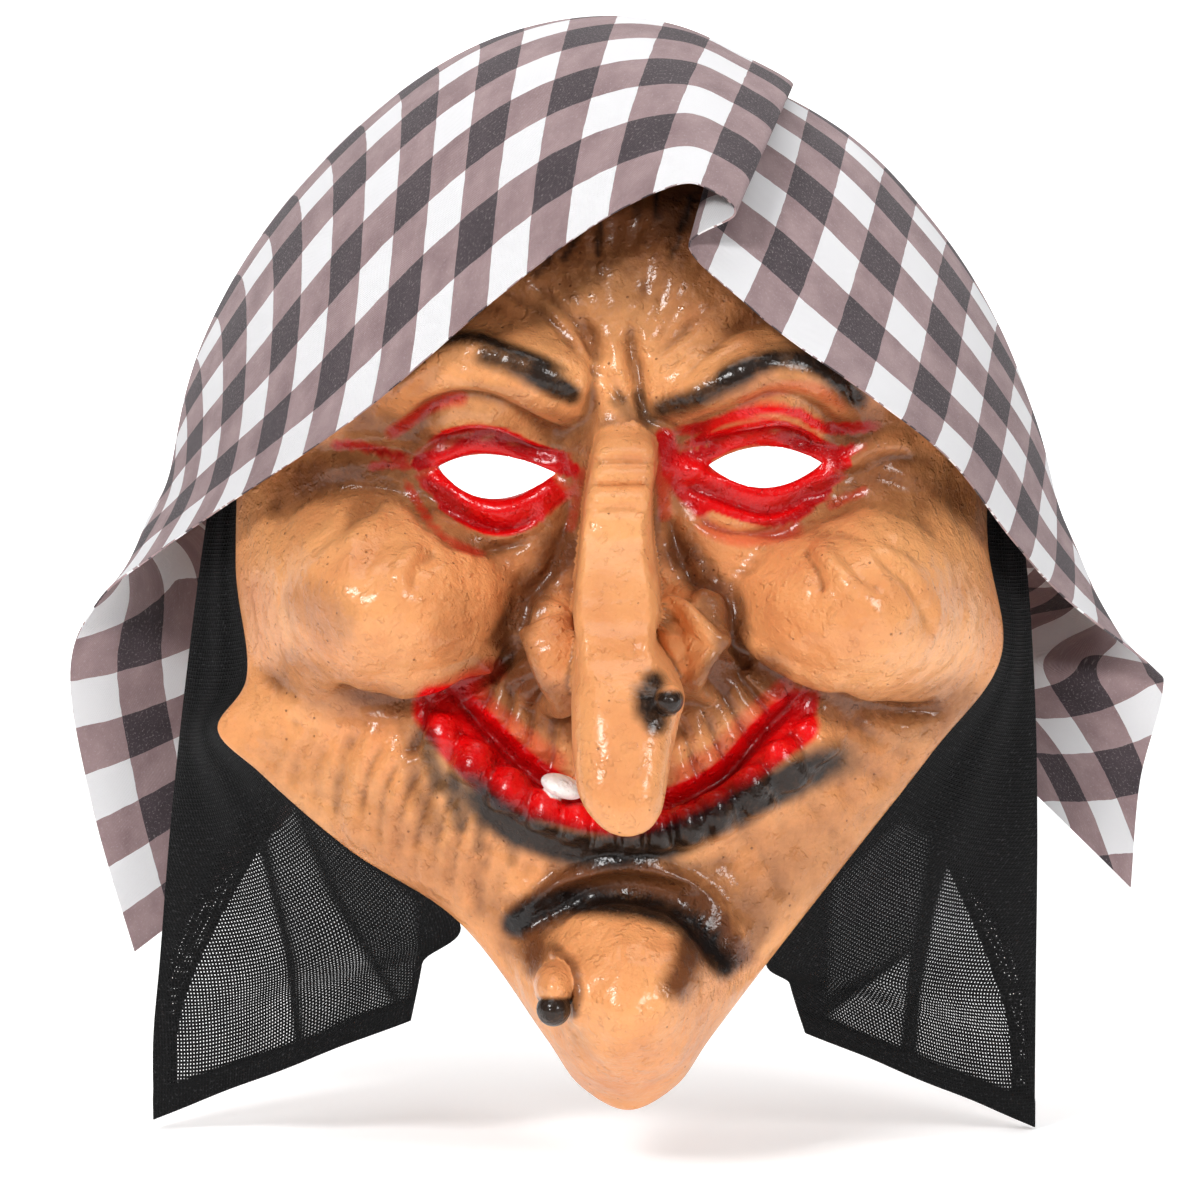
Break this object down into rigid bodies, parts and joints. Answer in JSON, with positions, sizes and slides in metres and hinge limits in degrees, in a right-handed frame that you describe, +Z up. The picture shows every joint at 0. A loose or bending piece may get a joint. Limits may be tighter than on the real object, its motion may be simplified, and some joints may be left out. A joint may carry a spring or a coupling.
{
  "type": "witch mask",
  "caption": "Full-face carnival mask of an old witch with a hooked nose, a checked head scarf over the crown and black net drapes at the sides",
  "frame": {"origin": "midway between the eye holes at the inside of the bridge of the nose, where the wearer's face sits", "axes": "+Z up, -Y the way the face looks, +Y the way the wearer's head leaves, +X to the right of someone looking at the face"},
  "size_m": [0.288, 0.2308, 0.2876],
  "materials": {
    "painted_skin": "satin soft vinyl with airbrushed paint",
    "checked_cloth": "matt woven check",
    "black_net": "matt open net"
  },
  "bodies": {
    "root": {"face_shell": "painted_skin", "head_scarf": "checked_cloth", "drape_left": "black_net", "drape_right": "black_net"}
  },
  "joints": []
}
